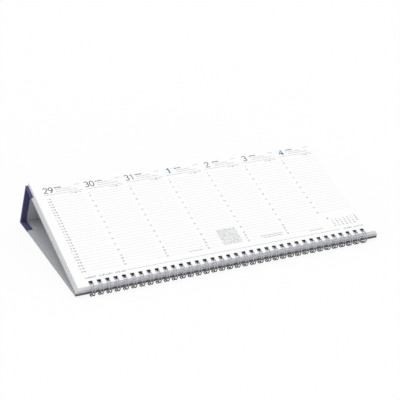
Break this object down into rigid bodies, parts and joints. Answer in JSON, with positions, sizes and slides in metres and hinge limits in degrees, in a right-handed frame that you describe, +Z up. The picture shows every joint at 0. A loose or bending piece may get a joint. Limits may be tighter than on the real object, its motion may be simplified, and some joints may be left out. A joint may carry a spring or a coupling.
{
  "type": "desk pad calendar",
  "caption": "Weekly desk calendar: a pad of landscape leaves on a hollow board wedge, with a navy cloth spine at the back and a silver twin-loop wire along the front.",
  "frame": {"origin": "centre of the bounding box seen from above, at table height", "axes": "+X along the binding, to the right for a reader; +Y from the binding to the back; +Z up"},
  "size_m": [0.331, 0.1836, 0.0588],
  "materials": {
    "leaf_paper": "matte",
    "cover_paper": "matte",
    "liner_paper": "matte",
    "base_paper": "matte",
    "greyboard": "matte",
    "book_cloth": "matte",
    "silver_wire": "satin"
  },
  "bodies": {
    "root": {"page_pad": "leaf_paper", "front_cover_paper": "cover_paper", "inner_liner": "liner_paper", "base_cover_paper": "base_paper", "front_board": "greyboard", "back_board": "greyboard", "base_board": "greyboard", "cloth_strip": "book_cloth", "binding_wire": "silver_wire"}
  },
  "joints": []
}
